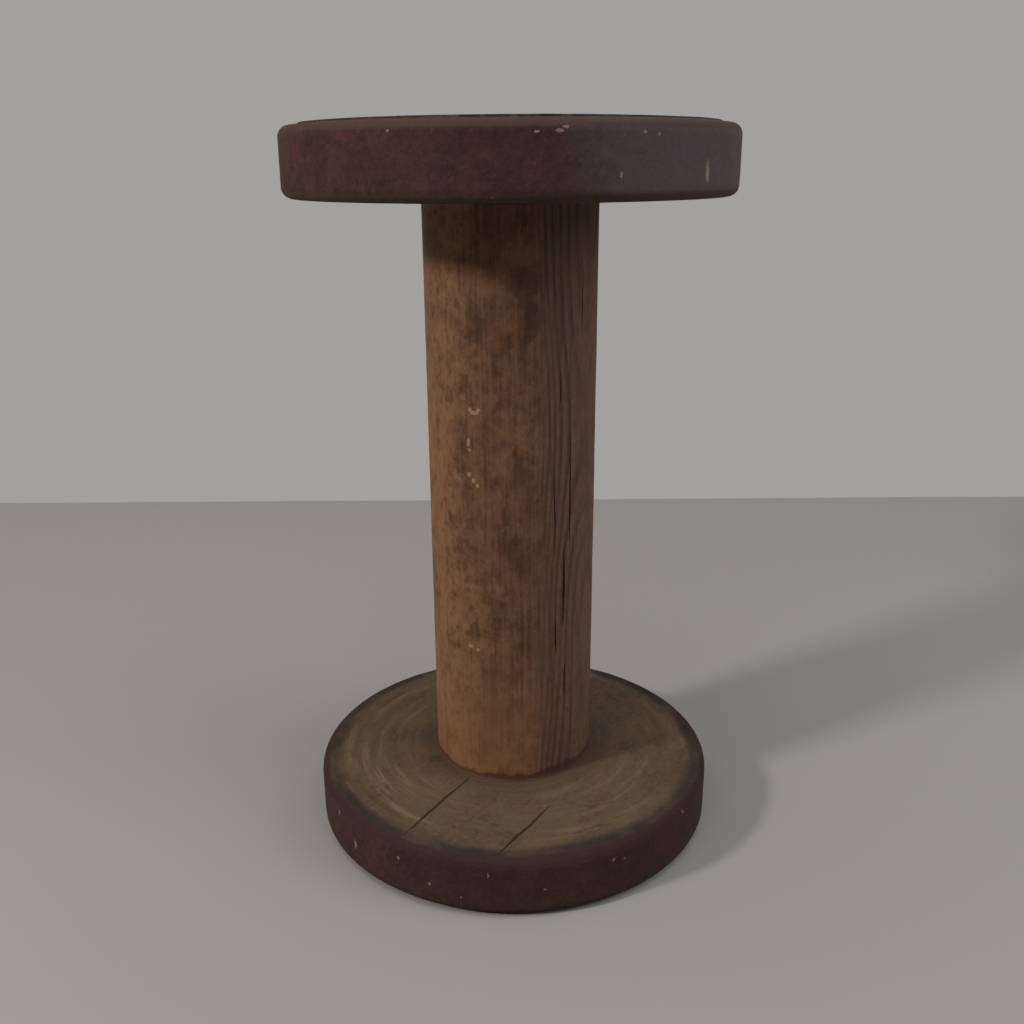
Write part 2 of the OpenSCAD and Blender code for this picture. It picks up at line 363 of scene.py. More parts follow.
def lock_pin_plugs(shape):
    """The holes of the lock pins, half in the tenon and half in the plies."""
    top = SHOULDER_Z - shape.face_rise - LOCK_PIN_STOP
    outline = [(LOCK_PIN_R, PLATE_SEAT - PAST), (LOCK_PIN_R, top)]
    return [(x, y, outline) for x, y in around(LOCK_PIN_N, shape.tenon_radius, 180 / LOCK_PIN_N)]


def flange_plugs(shape, driven):
    """All the holes bored through the plies of one flange beside the tenon's."""
    flange_t = SHOULDER_Z - shape.face_rise
    plugs = lock_pin_plugs(shape)
    screw = [(SCREW_HOLE_R, PLATE_SEAT - PAST), (SCREW_HOLE_R, SCREW_END)]
    plugs += [(x, y, screw) for x, y in around(SCREW_N, (shape.tenon_radius + PLATE_R) / 2)]
    nail = [(NAIL_HEAD_R, -PAST), (NAIL_HEAD_R, NAIL_SEAT), (NAIL_HOLE_R, NAIL_SEAT + 0.01 * MM),
            (NAIL_HOLE_R, flange_t - NAIL_STOP)]
    nails = around(OUTER_NAIL_N, FLANGE_R - NAIL_IN, 180 / OUTER_NAIL_N)
    nails += around(INNER_NAIL_N, DRIVE_CIRCLE_R, 180 / INNER_NAIL_N)
    plugs += [(x, y, nail) for x, y in nails]
    if driven:
        drive = [(DRIVE_HOLE_R, -PAST), (DRIVE_HOLE_R, DRIVE_HOLE_DEPTH)]
        plugs += [(x, y, drive) for x, y in around(DRIVE_HOLE_N, DRIVE_CIRCLE_R)]
    return plugs


def placed_parts(parts, upper):
    """Plug parts of the lower end, turned end for end for the upper one."""
    vertices, faces = parts
    if upper:
        vertices = end_for_end(np.array(vertices), OVERALL).tolist()
    return vertices, faces


# Wear of the flanges

# Chips of the rims, as the angle from the front in degrees, height, half width and half height in mm
RIM_CHIPS = {
    "lower": [(-58.0, 20.0, 0.5, 1.4), (-49.3, 12.5, 0.7, 1.9), (-32.1, 17.9, 0.5, 0.8), (-22.8, 10.9, 0.6, 0.6),
              (-6.8, 19.0, 0.5, 1.0), (24.0, 23.6, 0.5, 0.6), (26.7, 19.3, 0.7, 0.6), (30.1, 18.3, 0.4, 0.5),
              (7.7, 12.6, 0.5, 0.4), (54.0, 22.6, 0.6, 0.8), (-14.0, 8.0, 0.4, 0.5), (120.0, 15.0, 0.8, 1.6),
              (171.0, 9.0, 0.6, 0.8), (-125.0, 18.0, 0.6, 1.2), (-98.0, 8.0, 0.8, 0.6), (86.0, 12.0, 0.5, 1.1)],
    "upper": [(10.1, 274.6, 1.1, 0.5), (11.3, 275.6, 0.9, 0.4), (5.4, 274.3, 0.8, 0.35), (29.3, 274.4, 0.7, 0.6),
              (33.0, 273.9, 0.6, 0.5), (49.4, 262.6, 1.0, 3.0), (23.7, 262.1, 0.5, 0.9), (-3.7, 255.6, 0.7, 0.8),
              (-26.0, 275.0, 0.5, 0.4), (105.0, 268.0, 0.8, 2.0), (160.0, 262.0, 0.7, 0.9), (-140.0, 266.0, 1.0, 1.2),
              (-84.0, 258.0, 0.6, 0.6), (-168.0, 272.0, 1.2, 0.5)],
}
# Cracks of the lower inner face along its grain, from the barrel towards the rim, as x and y in mm
CRACKS = [((-17.0, -27.6), (-42.6, -66.6), 0.9, 5.0), ((14.6, -48.6), (-7.2, -79.6), 1.0, 4.0)]
GRAIN_ANGLE = radians(57.0)


def chip_depth(points, end):
    """1 in the middle of a chip of the rim and 0 outside, as 1 - d^2 of the distance in half widths."""
    depth = np.zeros(points.shape[:-1])
    for angle, height, half_width, half_height in RIM_CHIPS[end]:
        centre = np.array(on_round(FLANGE_R, angle, height * MM))
        scaled = (points - centre) / (np.array([half_width, half_width, half_height]) * MM)
        depth = np.maximum(depth, 1 - (scaled ** 2).sum(axis=-1))
    return np.maximum(depth, 0)


def crack_distance(points):
    """Distance of each point from the nearest crack line of the lower inner face, in the plane of the face."""
    nearest = np.full(points.shape[:-1], 1.0)
    for start, stop, _, _ in CRACKS:
        a, b = np.array(start) * MM, np.array(stop) * MM
        share = np.clip(((points[..., :2] - a) @ (b - a)) / ((b - a) @ (b - a)), 0, 1)
        foot = a + share[..., None] * (b - a)
        nearest = np.minimum(nearest, np.linalg.norm(points[..., :2] - foot, axis=-1))
    return nearest


def flange_relief(points, normals, end):
    """How far the wear moves a point of a flange along its normal, in metres, never outwards. Rims carry lumpy
    paint and chips, and faces carry turning rings, which are noise of the radius, and shallow dents."""
    radius = np.linalg.norm(points[..., :2], axis=-1)
    upright = normals[..., 2] ** 2
    rim = 0.10 * layered_noise(points, 6 * MM, 11) + 0.05 * value_noise(points, 1.9 * MM, 17) - 0.16
    rim -= 0.22 * chip_depth(points, end)
    rings = np.stack([radius / (1.3 * MM), points[..., 0] / (60 * MM), points[..., 1] / (60 * MM)], axis=-1)
    face = 0.07 * layered_noise(rings, 1.0, 23, 2) + 0.06 * layered_noise(points, 9 * MM, 29) - 0.14
    if end == "lower":
        inner = smooth(points[..., 2], MIDDLE_PLY_TOP, MIDDLE_PLY_TOP + 2 * MM)
        face -= 0.16 * np.exp(-(crack_distance(points) / (1.1 * MM)) ** 2) * inner
    return (upright * face + (1 - upright) * rim) * MM


def flange_layers(points, normals):
    """Where a flange's corners are, from 0 on flat stretches to 1 on a rounding at 45 degrees."""
    return {"corner": 4 * normals[..., 2] ** 2 * (1 - normals[..., 2] ** 2)}


def inner_ply_profile(shape):
    """From the bottom of the tenon's hole outwards along the joint, up the rim, over its rounding and up the
    face to the barrel, and down the hole."""
    low, hub = MIDDLE_PLY_TOP, SHOULDER_Z
    face = hub - shape.face_rise
    hole = shape.tenon_radius + shape.wood_gap
    corner = FLANGE_R - shape.rim_round
    return np.concatenate([
        straight((hole, low), (FLANGE_R, low), shape.hidden_step),
        straight((FLANGE_R, low), (FLANGE_R, face - shape.rim_round), shape.face_step),
        bend((corner, face - shape.rim_round), shape.rim_round, 0, 90, 9),
        straight((corner, face), (BARREL_R, hub), shape.face_step),
        straight((BARREL_R, hub), (hole, hub), shape.hidden_step),
        straight((hole, hub), (hole, low), shape.hidden_step),
    ])


def middle_ply_profile(shape):
    """A plain disc with a hole: out along the lower joint, up the rim, in along the upper joint and down."""
    low, high, hole = OUTER_PLY_TOP, MIDDLE_PLY_TOP, shape.tenon_radius + shape.wood_gap
    return np.concatenate([
        straight((hole, low), (FLANGE_R, low), shape.hidden_step),
        straight((FLANGE_R, low), (FLANGE_R, high), shape.face_step),
        straight((FLANGE_R, high), (hole, high), shape.hidden_step),
        straight((hole, high), (hole, low), shape.hidden_step),
    ])


def outer_ply_profile(shape):
    """From the top of the hole down past the plate's seat, out over the raised face, into the quirk, over the
    crowned ring and its rounding, up the rim and in along the joint."""
    hole, seat = shape.tenon_radius + shape.wood_gap, PLATE_R + shape.metal_gap
    land = FLANGE_R - shape.ring_width
    quirk_floor = shape.land_height + shape.quirk_depth
    ring_in, corner = land + shape.quirk_width, FLANGE_R - shape.rim_round
    edge = 0.35 * MM
    crown = (ring_in + corner) / 2
    return np.concatenate([
        straight((hole, OUTER_PLY_TOP), (hole, PLATE_SEAT), shape.hidden_step),
        straight((hole, PLATE_SEAT), (seat, PLATE_SEAT), shape.hidden_step),
        straight((seat, PLATE_SEAT), (seat, edge), shape.face_step),
        bend((seat + edge, edge), edge, 180, 270, 3),
        straight((seat + edge, 0), (land - edge, 0), shape.face_step),
        bend((land - edge, edge), edge, 270, 360, 4),
        straight((land, edge), (land, quirk_floor), shape.face_step / 2),
        straight((land, quirk_floor), (ring_in, quirk_floor), shape.face_step / 2),
        straight((ring_in, quirk_floor), (ring_in, shape.land_height + shape.ring_crown), shape.face_step / 2),
        straight((ring_in, shape.land_height + shape.ring_crown), (crown, shape.land_height), shape.face_step / 2),
        straight((crown, shape.land_height), (corner, shape.land_height), shape.face_step),
        bend((corner, shape.land_height + shape.rim_round), shape.rim_round, 270, 360, 9),
        straight((FLANGE_R, shape.land_height + shape.rim_round), (FLANGE_R, OUTER_PLY_TOP), shape.face_step),
        straight((FLANGE_R, OUTER_PLY_TOP), (hole, OUTER_PLY_TOP), shape.hidden_step),
    ])


def flange_ply(name, profile, shape, end):
    """One ply of a flange as a worn surface of revolution, with its holes."""
    points, normals = lathe(profile, shape.flange_turns)
    upper = end == "upper"
    if upper:
        points, normals = end_for_end(points, OVERALL), end_for_end(normals)
    radius = np.linalg.norm(points[..., :2], axis=-1, keepdims=True)
    outward = points * np.array([1, 1, 0]) / radius
    normals = np.where(radius > FLANGE_R - 0.001 * MM, outward, normals)
    hidden = radius[..., 0] < PLATE_R + shape.metal_gap + 0.01 * MM
    relief = np.where(hidden, 0, flange_relief(points, normals, end))
    piece = surface_object(name, points + normals * relief[..., None], flange_layers(points, normals))
    plugs = placed_parts(cutter_parts(flange_plugs(shape, not upper)), upper)
    return piece, plugs


def crack_parts(shape):
    """The wedges of the two cracks of the lower inner face."""
    parts = []
    for number, (start, stop, width, depth) in enumerate(CRACKS):
        ends = []
        for x, y in (start, stop):
            share = (FLANGE_R - np.hypot(x, y) * MM) / (FLANGE_R - BARREL_R)
            ends.append((x * MM, y * MM, SHOULDER_Z - shape.face_rise * (1 - share)))
        parts.append(blade_parts(ends[0], ends[1], (0, 0, -1), width * MM, depth * MM, 0.6 * MM, 50 + number))
    return parts


# Wear of the barrel

# Splits of the barrel along its grain, as the angle from the front in degrees, top, bottom, width and depth in mm
BARREL_SPLITS = [(41.9, 172.0, 122.0, 0.75, 2.5), (37.1, 128.0, 90.0, 0.9, 3.0), (29.2, 159.0, 120.0, 0.5, 1.5),
                 (30.7, 99.0, 80.0, 0.7, 2.0), (38.8, 77.0, 61.0, 0.8, 2.0), (33.0, 196.0, 178.0, 0.5, 1.5),
                 (52.0, 236.0, 205.0, 0.5, 1.5), (96.0, 160.0, 96.0, 0.7, 2.0), (152.0, 228.0, 150.0, 0.8, 2.5),
                 (-118.0, 120.0, 66.0, 0.6, 2.0), (171.0, 98.0, 52.0, 0.5, 1.5)]
# Cream specks of the barrel, as the angle from the front in degrees, height, half width and half height in mm
CREAM_SPECKS = [(-24.5, 179.6, 1.8, 0.7), (-27.8, 180.6, 0.8, 0.8), (-21.6, 180.8, 0.8, 0.8), (-29.3, 168.4, 0.8, 1.6),
                (-28.6, 165.4, 0.7, 0.7), (-23.3, 151.9, 0.6, 0.6), (-29.0, 156.0, 1.0, 0.8), (-26.0, 153.8, 0.9, 0.9),
                (-30.5, 85.5, 1.3, 0.9), (-25.0, 84.5, 0.9, 0.7)]
# Dark spots of the barrel, in the same measures. The four on the second line, 206 to 225 mm up, darken the fading edge
# of the shade under the upper flange: painted shade.
DARK_SPOTS = [(2.3, 131.0, 2.4, 1.7), (-31.6, 109.0, 2.2, 1.5), (-5.0, 134.0, 1.5, 1.2), (-27.0, 92.0, 2.6, 4.5),
              (-36.0, 218.0, 1.6, 2.6), (-23.0, 206.0, 1.2, 1.4), (9.0, 225.0, 5.0, 7.0), (14.0, 212.0, 3.0, 7.0)]
# The growth rings of the barrel run about a heart outside it, behind and to the left
RING_SPACING = 1.0 * MM
HEART = (-53.0 * MM, 28.2 * MM)
# The weathered side of the barrel, between these angles from the front in degrees
WEATHERED_FROM, WEATHERED_TO = 20.0, 128.0


def wave(value):
    """The sine of an array, or of a wire of a shader."""
    return value.sine() if isinstance(value, Wire) else np.sin(value)


def ring_count(x, y, z):
    """Number of growth rings from the heart out to a place, given as arrays or as wires of a shader. The heart
    wanders along the trunk as a sum of sines, and each ring has its own waves."""
    lean = wave(z * 23 + 0.6) * 1.5 + wave(z * 52 + 2.1) * 0.6
    east, north = x - HEART[0] + lean * MM, y - HEART[1] - lean * 0.5 * MM
    knots = wave(x * 130 + z * 31) * 0.45 + wave(y * 170 - z * 44 + 1.3) * 0.35
    return ((east * east + north * north) ** 0.5 + knots * MM) / RING_SPACING


def weathering(points):
    """1 on the weathered side of the barrel and 0 on the handled side, with a soft, wavering edge."""
    angle = np.degrees(np.arctan2(points[..., 0], -points[..., 1]))
    angle = angle + 5 * value_noise(points * np.array([1, 1, 0.5]), 40 * MM, 67)
    return smooth(angle, WEATHERED_FROM - 6, WEATHERED_FROM + 6) * (1 - smooth(angle, WEATHERED_TO, WEATHERED_TO + 20))


def barrel_relief(points, normals):
    """How far the wear moves a point of the barrel along its normal, never outwards. Between the late wood lines
    of the weathered side the soft wood lies lower, and the whole barrel has faint flats and dents."""
    phase = ring_count(points[..., 0], points[..., 1], points[..., 2]) % 1
    soft = np.sin(pi * phase)
    long_grain = layered_noise(points * np.array([1, 1, 0.06]), 2.4 * MM, 71, 2)
    dents = layered_noise(points * np.array([1, 1, 0.5]), 14 * MM, 73)
    relief = 0.05 * long_grain + 0.09 * dents - 0.10 * soft * weathering(points) - 0.2
    return relief * MM * (1 - normals[..., 2] ** 2)


def barrel_profile(shape):
    """Up the barrel's outside from one shoulder to the other, in to the tenon, along it, and back down the
    bore. Paint fills the corner at the lower shoulder, and runs out in a quarter circle."""
    tenon, bore, fillet = shape.tenon_radius, shape.bore_radius, shape.foot_fillet
    low_end, high_end = PLATE_SEAT, OVERALL - PLATE_SEAT
    low, high = SHOULDER_Z, OVERALL - SHOULDER_Z
    return np.concatenate([
        straight((bore, low_end), (tenon, low_end), shape.hidden_step),
        straight((tenon, low_end), (tenon, low), shape.hidden_step),
        straight((tenon, low), (BARREL_R + fillet, low), shape.hidden_step),
        bend((BARREL_R + fillet, low + fillet), fillet, 270, 180, 6),
        straight((BARREL_R, low + fillet), (BARREL_R, high), shape.barrel_step),
        straight((BARREL_R, high), (tenon, high), shape.hidden_step),
        straight((tenon, high), (tenon, high_end), shape.hidden_step),
        straight((tenon, high_end), (bore, high_end), shape.hidden_step),
        straight((bore, high_end), (bore, low_end), shape.hidden_step),
    ])


def barrel_parts(shape):
    """The splits and the lock pin holes that are cut into the barrel."""
    parts = []
    for number, (angle, top, bottom, width, depth) in enumerate(BARREL_SPLITS):
        ends = [on_round(BARREL_R, angle, height * MM) for height in (bottom, top)]
        inwards = (-sin(radians(angle)), cos(radians(angle)), 0)
        parts.append(blade_parts(ends[0], ends[1], inwards, width * MM, depth * MM, 0.5 * MM, 80 + number))
    lower = cutter_parts(lock_pin_plugs(shape))
    return parts + [lower, placed_parts(lower, True)]


# Materials


class Wire:
    """A shader value on its way between nodes. Sums and products of wires and numbers add Math nodes."""

    def __init__(self, shader, socket):
        self.shader = shader
        self.socket = socket

    def math(self, operation, *values):
        return self.shader.node("ShaderNodeMath", {"operation": operation}, dict(enumerate(values)))

    def __add__(self, other):
        return self.math("ADD", self, other)

    def __sub__(self, other):
        return self.math("SUBTRACT", self, other)

    def __mul__(self, other):
        return self.math("MULTIPLY", self, other)

    def __truediv__(self, other):
        return self.math("DIVIDE", self, other)

    __radd__ = __add__
    __rmul__ = __mul__

    def __rsub__(self, other):
        return self.math("SUBTRACT", other, self)

    def __pow__(self, other):
        return self.math("POWER", self, other)

    def part(self):
        """What is left of the value past its whole number."""
        return self.math("FRACT", self)

    def sine(self):
        return self.math("SINE", self)

    def larger(self, other):
        return self.math("MAXIMUM", self, other)

    def between(self, low, high):
        """0 below low and 1 above high, smoothly; turned over if low is the larger."""
        return self.shader.node("ShaderNodeMapRange", {"interpolation_type": "SMOOTHSTEP"},
                                {"Value": self, "From Min": low, "From Max": high})


class Shader:
    """A material being built: one Principled surface and the nodes that feed it."""

    def __init__(self, name, roughness=0.8):
        self.material = bpy.data.materials.new(name)
        self.material.use_nodes = True
        self.tree = self.material.node_tree
        self.tree.nodes.clear()
        self.surface = self.tree.nodes.new("ShaderNodeBsdfPrincipled")
        output = self.tree.nodes.new("ShaderNodeOutputMaterial")
        self.tree.links.new(self.surface.outputs["BSDF"], output.inputs["Surface"])
        self.set("Roughness", roughness)
        self.place = self.node("ShaderNodeTexCoord", output="Object")
        split = self.node("ShaderNodeSeparateXYZ", {}, {"Vector": self.place}).socket.node
        self.x, self.y, self.z = (Wire(self, split.outputs[k]) for k in range(3))
        self.radius = (self.x * self.x + self.y * self.y) ** 0.5

    def node(self, kind, settings=(), values=(), output=0):
        """Adds a node of a kind with its settings, then its values or links, and gives one of its outputs."""
        added = self.tree.nodes.new(kind)
        for name, setting in dict(settings).items():
            setattr(added, name, setting)
        for name, value in dict(values).items():
            self.feed(added.inputs[name], value)
        return Wire(self, added.outputs[output])

    def feed(self, socket, value):
        """Links a wire to a socket, or sets the socket to a number, vector or colour."""
        if isinstance(value, Wire):
            self.tree.links.new(value.socket, socket)
        elif socket.type == "RGBA":
            socket.default_value = (*value[:3], 1)
        else:
            socket.default_value = value

    def set(self, name, value):
        self.feed(self.surface.inputs[name], value)

    def vector(self, x, y, z):
        return self.node("ShaderNodeCombineXYZ", {}, {"X": x, "Y": y, "Z": z})

    def stretched(self, x, y, z):
        """The place with each axis multiplied, so that a pattern is drawn out where the number is small."""
        return self.node("ShaderNodeVectorMath", {"operation": "MULTIPLY"}, {0: self.place, 1: (x, y, z)})

    def noise(self, size, place=None, detail=3.0, rough=0.55):
        """Noise from 0 to 1, about 0.5, whose blots are about size across, in metres."""
        return self.node("ShaderNodeTexNoise", {"noise_dimensions": "3D"},
                         {"Vector": place or self.place, "Scale": 1 / size, "Detail": detail, "Roughness": rough})

    def mix(self, share, first, second):
        """The first colour where share is 0 and the second where it is 1."""
        return self.node("ShaderNodeMix", {"data_type": "RGBA", "clamp_factor": True},
                         {"Factor": share, 6: first, 7: second}, output=2)

    def shade(self, base, share, strength):
        """The base colour made darker by up to strength where share is 1."""
        return self.node("ShaderNodeMix", {"data_type": "RGBA", "blend_type": "MULTIPLY", "clamp_factor": True},
                         {"Factor": share * strength, 6: base, 7: (0.0, 0.0, 0.0)}, output=2)

    def spot(self, centre, halves, waver):
        """1 in the middle of a spot of the given half sizes and 0 from its edge, which the waver breaks up."""
        off = self.node("ShaderNodeVectorMath", {"operation": "SUBTRACT"}, {0: self.place, 1: centre})
        shrink = tuple(1 / half for half in halves)
        scaled = self.node("ShaderNodeVectorMath", {"operation": "MULTIPLY"}, {0: off, 1: shrink})
        reach = self.node("ShaderNodeVectorMath", {"operation": "LENGTH"}, {0: scaled}, output="Value")
        return (reach + waver).between(1.15, 0.75)

    def spots(self, places, waver):
        """All the spots (centre, half sizes) in one mask."""
        mask = self.spot(*places[0], waver)
        for place in places[1:]:
            mask = mask.larger(self.spot(*place, waver))
        return mask

    def layer(self, name):
        """One number per point that the mesh carries."""
        return self.node("ShaderNodeAttribute", {"attribute_name": name}, output="Fac")

    def bump(self, height, depth, strength=1.0, under=None):
        """Bump whose height of 1 stands depth proud, in metres, over another bump if one is given."""
        values = {"Height": height, "Distance": depth, "Strength": strength}
        if under is not None:
            values["Normal"] = under
        return self.node("ShaderNodeBump", {}, values, output="Normal")


def rim_spots(end):
    """Centres and half sizes of the chips of one rim, a little larger than their pits."""
    return [(on_round(FLANGE_R, angle, height * MM), (1.15 * wide * MM, 1.15 * wide * MM, 1.15 * tall * MM))
            for angle, height, wide, tall in RIM_CHIPS[end]]


def paint_coat(s, colours, end):
    """Colour of the rim's worn oxblood paint, and where it is chipped. The lower rim carries painted shade on its
    corners and on its side away from the key light, and the upper rim a painted sheen on its right side.
    """
    blotch = s.noise(0.014, detail=6, rough=0.72)
    speck = s.noise(0.0022, detail=5, rough=0.75)
    base = s.mix((blotch * 0.5 + speck * 0.5).between(0.36, 0.64), colours.paint_dark, colours.paint)
    base = s.mix((s.noise(0.011, detail=6, rough=0.75) * 0.6 + speck * 0.4).between(0.52, 0.68) * 0.8, base,
                 colours.paint_red)
    if end == "upper":
        # Painted sheen: the upper rim's paint turns blue-grey on its right side, where the cool light from the right
        # falls.
        cool_sheen_side = (s.x + (s.noise(0.03, detail=4) - 0.5) * 0.06).between(0.008, 0.048)
        base = s.mix(cool_sheen_side * (0.55 + speck * 0.6), base, colours.paint_cool_sheen)
    else:
        # Painted shade: from a little left of its middle towards the right, away from the key light, the lower rim's
        # paint darkens.
        front = (s.x + (s.noise(0.03, detail=4) - 0.5) * 0.05).between(-0.060, -0.020)
        base = s.mix(front * 0.35, base, colours.paint_dark)
    # The upper rim's rounded corners show worn paint; the lower rim's are darkened with dirt and painted shade.
    corner = s.layer("corner").between(0.05, 0.6)
    base = s.mix(corner * 0.85, base, colours.paint_worn if end == "upper" else colours.paint_dark)
    worn = s.noise(0.005, detail=6, rough=0.75).between(0.60, 0.72)
    base = s.mix(worn * 0.5, base, colours.paint_worn)
    fleck = s.noise(0.0014, detail=3, rough=0.7).between(0.66, 0.76)
    base = s.mix(fleck * 0.22, base, colours.chip)
    chips = s.spots(rim_spots(end), (s.noise(0.0007, detail=3) - 0.5) * 1.6)
    return s.mix(chips * 0.62, base, colours.chip), chips


def bare_face(s, colours):
    """Colour and height of the bare, turned and weathered wood of a face."""
    slow_x, slow_y = s.x * 26, s.y * 26
    rings = s.noise(1.0, s.vector(s.radius * 330, slow_x, slow_y), detail=4, rough=0.65)
    broad = s.noise(1.0, s.vector(s.radius * 120, slow_x * 2, slow_y * 2), detail=3)
    along = s.x * cos(GRAIN_ANGLE) + s.y * sin(GRAIN_ANGLE)
    across = s.y * cos(GRAIN_ANGLE) - s.x * sin(GRAIN_ANGLE)
    fibre = s.noise(1.0, s.vector(along * 70, across * 800, s.z * 70), detail=3, rough=0.6)
    patch = s.noise(0.020, detail=5, rough=0.66)
    grain = s.noise(0.0022, detail=5, rough=0.75)
    left = (s.x + patch * 0.03).between(-0.012, -0.040)
    strength = s.noise(0.035, detail=2).between(0.35, 0.65) * 0.35 + left * 0.35 + 0.2
    base = s.mix((grain * 0.5 + broad * 0.3 + fibre * 0.2).between(0.36, 0.60), colours.face_dark, colours.face_mid)
    base = s.mix(s.noise(0.026, detail=3).between(0.42, 0.62) * 0.6, base, colours.face_olive)
    base = s.mix(rings.between(0.50, 0.70) * strength, base, colours.face_light)
    base = s.mix(rings.between(0.46, 0.30) * strength * 0.8, base, colours.face_dark)
    base = s.mix((patch * 0.7 + fibre * 0.3).between(0.52, 0.68) * 0.6, base, colours.face_warm)
    base = s.mix((patch * 0.5 + grain * 0.5).between(0.47, 0.36) * 0.5, base, colours.face_dark)
    return base, rings * 0.7 + grain * 0.6


def flange_material(name, ply, end, colours):
    """A ply of a flange: paint on the rim and its corners, bare wood on the face. The paint ends along an uneven
    line on the inner face, and on the raised outer face it is worn through in patches."""
    s = Shader(name)
    wood, wood_height = bare_face(s, colours)
    coat, chips = paint_coat(s, colours, end)
    edge_noise = s.noise(0.014, detail=5, rough=0.6) - 0.5
    if ply == "inner":
        line = s.radius + edge_noise * 0.006
        cover = line.between(0.0783, 0.0803)
        grime = line.between(0.0725, 0.0775) * (s.noise(0.018, detail=3).between(0.3, 0.55) * 0.4 + 0.5)
    elif ply == "middle":
        cover = s.radius.between(0.0805, 0.081)
        grime = cover * 0.0
    else:
        line = s.radius + edge_noise * 0.06
        cover = line.between(0.044, 0.050) * (s.noise(0.0042, detail=6, rough=0.7) + s.radius * 4).between(0.70, 0.80)
        cover = cover.larger(s.radius.between(0.0752, 0.0758))
        grime = s.radius.between(0.052, 0.034) * 0.6
    wood = s.mix(grime, wood, colours.grime)
    if ply == "inner" and end == "lower":
        stain = s.spot((-0.0381, -0.0088, SHOULDER_Z), (0.0035, 0.0022, 0.004), edge_noise * 2)
        wood = s.mix(stain * 0.5, wood, tone(128, 74, 44))
        dark = s.spot((-0.0326, -0.0152, SHOULDER_Z), (0.0028, 0.0022, 0.004), edge_noise * 2)
        wood = s.mix(dark * 0.65, wood, colours.grime)
        # Stain and painted shade: the face darkens towards the foot of the barrel, in the corner between barrel and
        # flange.
        foot = (s.radius + edge_noise * 0.008).between(0.0450, 0.0345)
        wood = s.mix(foot * 0.6, wood, colours.face_dark)
    s.set("Base Color", s.mix(cover, wood, coat))
    s.set("Roughness", 0.84 - cover * 0.12 + s.noise(0.002) * 0.12)
    s.set("Specular IOR Level", 0.15)
    lumps = s.noise(0.0024, detail=5, rough=0.65)
    under = s.bump(lumps, 0.0005, 0.7)
    height = wood_height * (1 - cover) + cover * 0.9 - chips * 0.6
    s.set("Normal", s.bump(height, 0.00028, 0.8, under))
    return s.material


